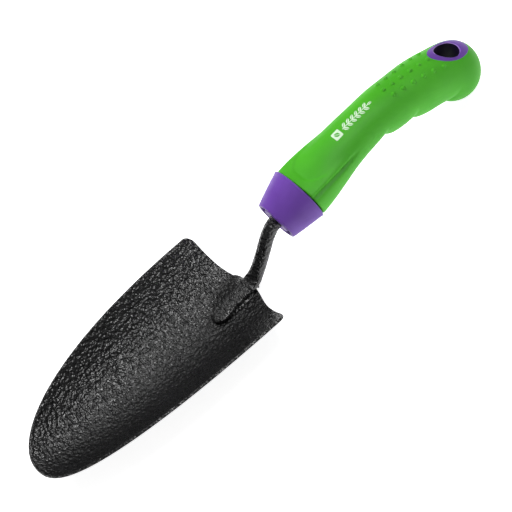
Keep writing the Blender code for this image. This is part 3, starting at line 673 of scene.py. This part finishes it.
def grip_radius(s, angle):
    """Offsets across and up of the grip's surface at a distance along the line and an angle."""
    half = curve(GRIP_SIZE, 1, s)
    above = curve(GRIP_SIZE, 2, s)
    below = curve(GRIP_SIZE, 3, s)
    c = np.cos(angle)
    d = np.sin(angle)
    across = half * c
    up = np.where(d > 0, above, below) * d
    dish = step(DISH_START, DISH_FULL, s) * (1.0 - step(DISH_FULL, DISH_END, s))
    swing = (RIDGE_ANGLE_FRONT - RIDGE_ANGLE) * (1.0 - step(20.0, 55.0, s))
    edge_angle = np.radians(RIDGE_ANGLE + swing)
    top = above - (above - DISH_HEIGHT) * dish
    dome = (top - above * np.sin(edge_angle)) / np.cos(edge_angle) ** 2
    top = top - dome * c ** 2
    blend = -THUMB_SOFT * np.log(np.exp(-up / THUMB_SOFT) + np.exp(-top / THUMB_SOFT))
    up = np.where(d > 0, up + (blend - up) * dish, up)
    lean = np.arcsin(np.clip(d, -1.0, 1.0))
    crease = RIDGE_CREASE * step(DISH_START, DISH_FULL, s) * (1.0 - step(RIDGE_FADE, RIDGE_END, s))
    off = (lean - edge_angle + math.radians(CREASE_BELOW)) / math.radians(CREASE_WIDTH)
    crease = crease * np.exp(-off ** 2)
    edge = PAN_FRONT + PAN_SWEEP * np.clip(np.abs(across) / PAN_HALF_WIDTH, 0.0, 1.0) ** 3.2
    pan = step(0.0, 2.0, s - edge) * (1.0 - step(40.0, 62.0, s)) * step(0.25, 0.55, d)
    pan = pan * (1.0 - step(10.0, 13.0, np.abs(across)))
    notch = notch_depth(s) * step(-0.2, 0.75, -d)
    shrink = crease + notch + PAN_DEPTH * pan
    size = np.hypot(across, up)
    factor = (size - shrink) / np.maximum(size, 1e-6)
    return across * factor, up * factor


def grip_points(s, angle, drop=0.0, lean=0.0):
    """Points on the grip, moved in by drop."""
    s = s + SEAM_TILT * lean * grip_radius(s, angle)[1]
    centre, _, up_dir = line_frame(s)
    across, up = grip_radius(s, angle)
    size = np.hypot(across, up)
    factor = ((size - drop) / size)[..., None]
    return centre + ACROSS * across[..., None] * factor + up_dir * up[..., None] * factor


SEAM = COLLAR_LENGTH + SEAM_GAP


def grip_rings(sides, pitch):
    """Rings of the grip from its hidden front opening to the round rear end."""
    angle = 2.0 * math.pi * np.arange(sides) / sides
    rings = []
    start = SEAM
    lip = GRIP_LIP
    inner = line_ring(start + 3.5, HUB_RADIUS + 2.0, sides, 1.0)
    rings.append(inner)
    rings.append(grip_points(np.full(sides, start + 0.02), angle, lip + 1.5, 1.0))
    for k in range(9):
        lean = 0.5 * math.pi * k / 8
        behind = lip * (1.0 - math.cos(lean))
        drop = lip * (1.0 - math.sin(lean))
        share = 1.0 - float(step(0, 14, behind))
        rings.append(grip_points(np.full(sides, start + behind), angle, drop, share))
    s = start + lip + pitch
    while s < GRIP_END - 0.5 * pitch:
        share = 1.0 - float(step(0.0, 14.0, s - start))
        rings.append(grip_points(np.full(sides, s), angle, 0.0, share))
        s += pitch
    centre, along, up_dir = (v[0] for v in line_frame(GRIP_END))
    reach = float(curve(GRIP_SIZE, 1, GRIP_END))
    across, up = grip_radius(np.full(sides, GRIP_END), angle)
    steps = 36
    for k in range(steps):
        lean = 0.5 * math.pi * k / steps
        ring = centre + along * (reach * math.sin(lean))
        ring = ring + (np.outer(across, ACROSS) + np.outer(up, up_dir)) * math.cos(lean)
        rings.append(ring)
    return rings, centre + along * reach


def line_ring(s, radius, sides, lean=0.0):
    """A round ring about the handle line, leaning back at the top."""
    angle = 2.0 * math.pi * np.arange(sides) / sides
    at = s + SEAM_TILT * lean * radius * np.sin(angle)
    centre, _, up_dir = line_frame(at)
    return centre + np.outer(radius * np.cos(angle), ACROSS) + up_dir * (radius * np.sin(angle))[:, None]


def grip_surface(s, degrees, lift=0.0):
    """Points on the grip at a distance along the line and degrees toward +Y from its top."""
    angle = np.radians(90.0 - np.asarray(degrees, dtype=float))
    s = np.asarray(s, dtype=float)
    base = grip_points(s, angle)
    e = 0.05
    ds = grip_points(s + e, angle) - grip_points(s - e, angle)
    da = grip_points(s, angle + 0.004) - grip_points(s, angle - 0.004)
    n = np.cross(ds, da)
    n = n / np.linalg.norm(n, axis=-1, keepdims=True)
    centre, _, _ = line_frame(s)
    n = n * np.sign(((base - centre) * n).sum(axis=-1, keepdims=True))
    return base + n * np.asarray(lift)[..., None]


def build_dots_mesh():
    """Rows of low round bumps with a softly flared foot."""
    verts = []
    faces = []
    for first, last, start, pitch in DOT_ROWS:
        for k in range(DOTS_PER_ROW):
            degrees = first + (last - first) * k / (DOTS_PER_ROW - 1)
            mid = start + k * pitch
            base = len(verts)
            around = 2.0 * math.pi * np.arange(DOT_SIDES) / DOT_SIDES
            radius = float(curve(GRIP_SIZE, 2, mid))
            for r, h in DOT_PROFILE:
                s = mid + r * np.cos(around)
                turn = degrees + np.degrees(r * np.sin(around) / radius)
                verts.extend(grip_surface(s, turn, np.full(DOT_SIDES, h)).tolist())
            top = grip_surface(np.array([mid]), np.array([degrees]), np.array([DOT_TOP]))
            verts.extend(top.tolist())
            rows = len(DOT_PROFILE)
            faces += [tuple(f) for f in ring_faces(rows, DOT_SIDES, start=base).tolist()]
            a = base + (rows - 1) * DOT_SIDES
            pole = base + rows * DOT_SIDES
            faces += [(a + i, a + (i + 1) % DOT_SIDES, pole) for i in range(DOT_SIDES)]
    return np.array(verts), faces


# ---------------------------------------------------------------- hang hole
def hole_frame():
    """Middle of the hang hole, and its upward and rearward directions."""
    lean = math.radians(HOLE_TILT)
    up = np.array([-math.sin(lean), 0.0, math.cos(lean)])
    rear = np.array([-math.cos(lean), 0.0, -math.sin(lean)])
    return line_frame(HOLE_ALONG)[0][0], up, rear


HOLE_MID, HOLE_UP, HOLE_REAR = hole_frame()


def egg(front, rear, side, grow, sides):
    """Egg outline in the plane across the hole: distances rearward and sideways."""
    angle = 2.0 * math.pi * np.arange(sides) / sides
    c = np.cos(angle)
    d = np.sin(angle)
    along = np.where(c > 0, HOLE_HALF_LENGTH + rear + grow, HOLE_HALF_LENGTH + front + grow) * c
    across = (HOLE_HALF_WIDTH + side + grow) * d * (1.0 + EGG * c)
    return along, across


def on_hole_plane(along, across, height):
    base = HOLE_MID + np.outer(along, HOLE_REAR) + np.outer(across, ACROSS)
    return base + np.asarray(height)[..., None] * HOLE_UP


def egg_bar(name, rims, grow, reach, sides=120):
    """A bar with the hang ring's outline, which cuts its seat out of the grip."""
    rings = []
    for sign, rim in ((-1.0, rims[1]), (1.0, rims[0])):
        a, b = egg(*rim, grow, sides)
        rings.append(on_hole_plane(a, b, np.full(sides, sign * reach)))
    first = HOLE_MID - HOLE_UP * reach
    last = HOLE_MID + HOLE_UP * reach
    return rings_piece(name, rings, GREEN, None, (), first, last, sharp=60.0)


def build_grip():
    """The grip with its seat cut out and its dots. Returns the uncut skin, for rays."""
    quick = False
    sides = 120 if quick else 200
    rings, pole = grip_rings(sides, 1.1 if quick else 0.62)
    whole = rings_piece("grip_whole", rings, GREEN, None, (), line_frame(SEAM + 3.5)[0][0], pole, sharp=60.0)
    tree = BVHTree.FromObject(whole, bpy.context.evaluated_depsgraph_get())
    seat = egg_bar("seat_cutter", (LINER_ABOVE, LINER_BELOW), SEAT_CLEAR, 26.0)
    cut = whole.modifiers.new("seat", "BOOLEAN")
    cut.operation = "DIFFERENCE"
    cut.solver = "EXACT"
    cut.object = seat
    bpy.context.view_layer.update()
    graph = bpy.context.evaluated_depsgraph_get()
    mesh = bpy.data.meshes.new_from_object(whole.evaluated_get(graph))
    dots, dot_faces = build_dots_mesh()
    work = bmesh.new()
    work.from_mesh(mesh)
    points = [work.verts.new(p) for p in to_world(dots).tolist()]
    for f in dot_faces:
        work.faces.new([points[i] for i in f])
    bmesh.ops.recalc_face_normals(work, faces=work.faces)
    for face in work.faces:
        face.smooth = True
        face.material_index = 0
    for edge in work.edges:
        if len(edge.link_faces) == 2:
            edge.smooth = edge.calc_face_angle(0.0) < math.radians(42.0)
    work.to_mesh(mesh)
    work.free()
    mesh.materials.clear()
    mesh.materials.append(GREEN)
    piece = bpy.data.objects.new("soft_grip", mesh)
    bpy.context.scene.collection.objects.link(piece)
    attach(piece, "root")
    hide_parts("grip_sleeve")
    for extra in (whole, seat):
        bpy.data.objects.remove(extra, do_unlink=True)
    return tree


def build_liner(tree):
    """Purple ring on top and below, joined by the wall of the hole."""
    sides = 160

    def skin(along, across, sign, proud):
        """Height of the grip's uncut skin over the hole's plane, plus proud."""
        points = []
        for a, b in zip(along, across):
            above = HOLE_MID + HOLE_REAR * a + ACROSS * b + HOLE_UP * sign * 40.0
            start = Vector(to_world(above).tolist())
            hit = tree.ray_cast(start, Vector((HOLE_UP * -sign).tolist()))[0]
            if hit is None:
                points.append(0.0)
            else:
                local = np.array(hit) / MM - ORIGIN - HOLE_MID
                points.append(float(local @ HOLE_UP) * sign + proud)
        return np.array(points) * sign

    def level(height, amount):
        """Even out the ring's height, so its edge runs smoothly."""
        spread = np.fft.rfft(height)
        spread[amount:] = 0.0
        return np.fft.irfft(spread, sides)

    rings = []
    for sign, rim in ((1.0, LINER_ABOVE), (-1.0, LINER_BELOW)):
        side_rings = []
        outer = egg(*rim, 0.0, sides)
        inner = egg(0.0, 0.0, 0.0, 0.0, sides)
        top_outer = level(skin(*outer, sign, 0.0), 14)
        wide = np.hypot(outer[0] - inner[0], outer[1] - inner[1])
        side_rings.append(on_hole_plane(*outer, top_outer - sign * 2.2))
        side_rings.append(on_hole_plane(*outer, top_outer - sign * 0.10))
        for k in (0.5, 1.0):
            share = 0.30 * k / np.maximum(wide, 0.5)
            a = outer[0] + (inner[0] - outer[0]) * share
            b = outer[1] + (inner[1] - outer[1]) * share
            side_rings.append(on_hole_plane(a, b, level(skin(a, b, sign, 0.06 + 0.10 * k), 14)))
        for k in (0.25, 0.45, 0.62, 0.76):
            a = outer[0] + (inner[0] - outer[0]) * k
            b = outer[1] + (inner[1] - outer[1]) * k
            side_rings.append(on_hole_plane(a, b, level(skin(a, b, sign, 0.17), 14)))
        bead = LINER_BEAD
        a0, b0 = egg(0.0, 0.0, 0.0, bead, sides)
        top = level(skin(a0, b0, sign, 0.22), 14)
        for k in range(0, 7):
            lean = 0.5 * math.pi * k / 6
            a, b = egg(0.0, 0.0, 0.0, bead * (1.0 - math.sin(lean)), sides)
            side_rings.append(on_hole_plane(a, b, top - sign * bead * (1.0 - math.cos(lean))))
        if sign < 0:
            side_rings = side_rings[::-1]
        rings += side_rings
        if sign > 0:
            low_a, low_b = inner
            for share in (0.15, 0.5, 0.85):
                height = top * (1 - share) - 14.0 * share
                rings.append(on_hole_plane(low_a, low_b, height))
    piece = rings_piece("hang_ring", rings, PURPLE, "purple_plastic", ("hang_liner",), sharp=50.0)
    # the hang ring's painted light: shade on the wall of the hole, a highlight on its edge
    painted_light = piece.data.attributes.new("painted_light", "FLOAT", "POINT")
    values = np.zeros((len(rings), sides))
    values[11:13] = -1.0     # painted highlight on the edge of the hole
    values[14:25] = 1.0      # painted shade on the wall of the hole
    painted_light.data.foreach_set("value", values.ravel().astype(np.float32))
    return piece


# ---------------------------------------------------------------- collar and hub
def build_collar():
    """Tapered collar with a recessed mouth and rounded ends."""
    taper = (COLLAR_REAR_RADIUS - COLLAR_FRONT_RADIUS) / COLLAR_LENGTH
    sides = 200
    rear = COLLAR_LENGTH
    recess = COLLAR_FRONT_RADIUS - COLLAR_RIM
    front_round = 0.55
    rear_round = 0.8
    face = FACE_TILT_SHARE
    profile = [(RECESS_DEPTH, recess - 0.4, face), (1.2, recess, face), (0.25, recess + 0.05, face),
               (0.0, recess + 0.3, face)]
    for k in range(7):
        lean = 0.5 * math.pi * k / 6
        profile.append((front_round * (1 - math.cos(lean)),
                        COLLAR_FRONT_RADIUS - front_round * (1 - math.sin(lean)), face))
    for k in range(1, 24):
        s = front_round + (rear - rear_round - front_round) * k / 24
        profile.append((s, COLLAR_FRONT_RADIUS + taper * s + 0.10 * math.sin(math.pi * k / 24),
                        face + (1.0 - face) * k / 24))
    for k in range(8):
        lean = 0.5 * math.pi * k / 7
        profile.append((rear - rear_round * (1 - math.sin(lean)),
                        COLLAR_REAR_RADIUS - rear_round * (1 - math.cos(lean)), 1.0))
    profile.append((rear, HUB_RADIUS + 0.3, 1.0))
    profile.append((RECESS_DEPTH, HUB_RADIUS + 0.3, face))
    rings = [line_ring(s, r, sides, share) for s, r, share in profile]
    return rings_piece("collar_shell", rings, PURPLE, "purple_plastic", ("collar",), looped=True, sharp=50.0)


def build_hub():
    """Front end of the core, seen in the collar's mouth."""
    sides = 160
    bore = ROD_RADIUS + 0.25
    profile = [(24.0, bore), (0.35, bore), (0.1, ROD_RADIUS + 0.5), (0.0, ROD_RADIUS + 0.9)]
    for k in range(6):
        lean = 0.5 * math.pi * k / 5
        profile.append((0.5 * (1 - math.cos(lean)), HUB_RADIUS - 0.5 * (1 - math.sin(lean))))
    profile.append((12.0, HUB_RADIUS))
    profile.append((24.0, HUB_RADIUS))
    rings = [line_ring(s, r, sides, FACE_TILT_SHARE if s < 2.0 else 0.0) for s, r in profile]
    return rings_piece("hub", rings, PURPLE, "purple_plastic", ("handle_core",), looped=True, sharp=50.0)


# ---------------------------------------------------------------- printed mark: a leaf badge and a sprig
MARK_START = 52.2
MARK_SIDE = 5.0
MARK_HALF = 2.6
MARK_RADIUS = 12.9
MARK_CELL = 0.09
MARK_LIFT = 0.035


def leaf(a, b, at, side, length, width, lean):
    """Share inside a pointed leaf that grows from the stem at an angle."""
    ca = math.cos(lean)
    sa = math.sin(lean)
    u = (a - at) * ca + side * b * sa
    v = -(a - at) * sa + side * b * ca
    t = np.clip(u / length, 0.0, 1.0)
    half = width * np.sin(math.pi * t) ** 0.85
    rib = np.abs(v) > 0.13
    return (u > 0.05) & (u < length) & (np.abs(v) < half) & rib


def mark_shape(a, b):
    """True where the mark is printed: a leaf badge, then a stem with six pairs of leaves."""
    badge = np.maximum(np.abs(a - 2.6), np.abs(b)) < 2.5
    corner = np.hypot(np.maximum(np.abs(a - 2.6) - 1.9, 0.0), np.maximum(np.abs(b) - 1.9, 0.0)) < 0.6
    u = (a - 2.6) * 0.7071 + b * 0.7071
    v = -(a - 2.6) * 0.7071 + b * 0.7071
    t = np.clip((u + 2.0) / 4.0, 0.0, 1.0)
    inside = (np.abs(u) < 2.0) & (np.abs(v) < 1.15 * np.sin(math.pi * t)) & (np.abs(v) > 0.15)
    shape = badge & corner & ~inside
    stem = (a > 6.6) & (a < 24.6) & (np.abs(b) < 0.22)
    shape = shape | stem
    for k in range(6):
        at = 7.0 + 2.85 * k
        for side in (-1.0, 1.0):
            shape = shape | leaf(a, b, at + (0.0 if side > 0 else 0.5), side, 3.5, 0.82, math.radians(48.0))
    shape = shape | leaf(a, b, 23.9, 1.0, 2.6, 0.75, 0.0)
    return shape


def build_mark():
    """The mark as a thin sheet of small squares laid on the grip."""
    cell = MARK_CELL
    a = np.arange(-0.2, 26.9, cell)
    b = np.arange(-MARK_HALF - 0.3, MARK_HALF + 0.3, cell)
    ga, gb = np.meshgrid(a, b, indexing="ij")
    keep = mark_shape(ga[:-1, :-1] + 0.5 * cell, gb[:-1, :-1] + 0.5 * cell)
    flat_a = ga.ravel()
    turn = MARK_SIDE + np.degrees(gb.ravel() / MARK_RADIUS)
    points = grip_surface(MARK_START + flat_a, turn, np.full(len(flat_a), MARK_LIFT))
    rows, cols = ga.shape
    i, j = np.nonzero(keep)
    first = i * cols + j
    faces = np.stack([first, first + cols, first + cols + 1, first + 1], axis=1)
    used, back = np.unique(faces, return_inverse=True)
    quads = back.reshape(faces.shape)
    return make_piece("printed_sprig", points[used], quads, INK, "green_rubber", (), 60.0)


# ---------------------------------------------------------------- build everything
build_blade()
build_shank()
build_side_weld("left_fillet", -1.0, 8.2, 1.0, -5.2, TOE_X + 1.0, "weld_left")
build_side_weld("right_fillet", 1.0, 1.1, 0.3, -2.5, 18.0, "weld_right")
build_heel_weld()
build_collar()
build_hub()
grip_tree = build_grip()
build_liner(grip_tree)
build_mark()

# ---------------------------------------------------------------- stage, light and camera
floor_mesh = bpy.data.meshes.new("floor")
floor_mesh.from_pydata([(-60, -60, 0), (60, -60, 0), (60, 60, 0), (-60, 60, 0)], [], [(0, 1, 2, 3)])
floor_mesh.materials.append(floor_material())
floor = bpy.data.objects.new("floor", floor_mesh)
floor.location = (0.0, 0.0, cad_box[0][2] - 0.0002)
bpy.context.scene.collection.objects.link(floor)

AZ = math.radians(161.84)
EL = math.radians(56.0)
ROLL = math.radians(-28.82)
DISTANCE = 1.1
back = Vector((math.sin(AZ) * math.cos(EL), -math.cos(AZ) * math.cos(EL), math.sin(EL)))
right = Vector((math.cos(AZ), math.sin(AZ), 0.0))
upward = back.cross(right)
cam_x = right * math.cos(ROLL) + upward * math.sin(ROLL)
cam_y = upward * math.cos(ROLL) - right * math.sin(ROLL)
target = Vector((ORIGIN * MM).tolist())
eye = target + back * DISTANCE
lens = bpy.data.cameras.new("camera")
lens.sensor_width = 36.0
lens.lens = 140.7965625
lens.shift_x = 0.02048828125
lens.shift_y = 0.06921875
lens.clip_end = 200.0
camera = bpy.data.objects.new("camera", lens)
rows = [[cam_x[i], cam_y[i], back[i], eye[i]] for i in range(3)] + [[0.0, 0.0, 0.0, 1.0]]
camera.matrix_world = Matrix(rows)
bpy.context.scene.collection.objects.link(camera)
bpy.context.scene.camera = camera


def area_light(name, toward, distance, size, power, diffuse=True, glossy=True):
    """Soft panel placed in the camera's directions: right, up and toward the viewer. One that is
    only diffuse leaves no reflection, and one that is only glossy gives the coat its glints."""
    data = bpy.data.lights.new(name, "AREA")
    data.shape = "RECTANGLE"
    data.size = size
    data.size_y = size
    data.energy = power
    way = (cam_x * toward[0] + cam_y * toward[1] + back * toward[2]).normalized()
    item = bpy.data.objects.new(name, data)
    item.location = way * distance
    item.visible_diffuse = diffuse
    item.visible_glossy = glossy
    item.rotation_euler = (-way).to_track_quat("-Z", "Y").to_euler()
    bpy.context.scene.collection.objects.link(item)
    return item


area_light("key", (-1.0, 0.85, 0.62), 1.4, 0.8, 17.0, glossy=False)
area_light("glint", (0.18, 0.34, 0.90), 1.4, 0.45, 9.5, diffuse=False)
area_light("far_glint", (-0.6, 0.8, 0.45), 1.4, 0.7, 3.5, diffuse=False)
area_light("top", (-0.1, 0.75, 0.9), 1.6, 0.6, 4.0)
area_light("right_fill", (1.0, -0.1, 0.55), 1.6, 0.7, 2.4, glossy=False)

world = bpy.data.worlds.new("studio")
bpy.context.scene.world = world
world.use_nodes = True
world.node_tree.nodes["Background"].inputs["Color"].default_value = (1.0, 1.0, 1.0, 1.0)
world.node_tree.nodes["Background"].inputs["Strength"].default_value = 0.22
bpy.context.scene.view_settings.view_transform = "Standard"
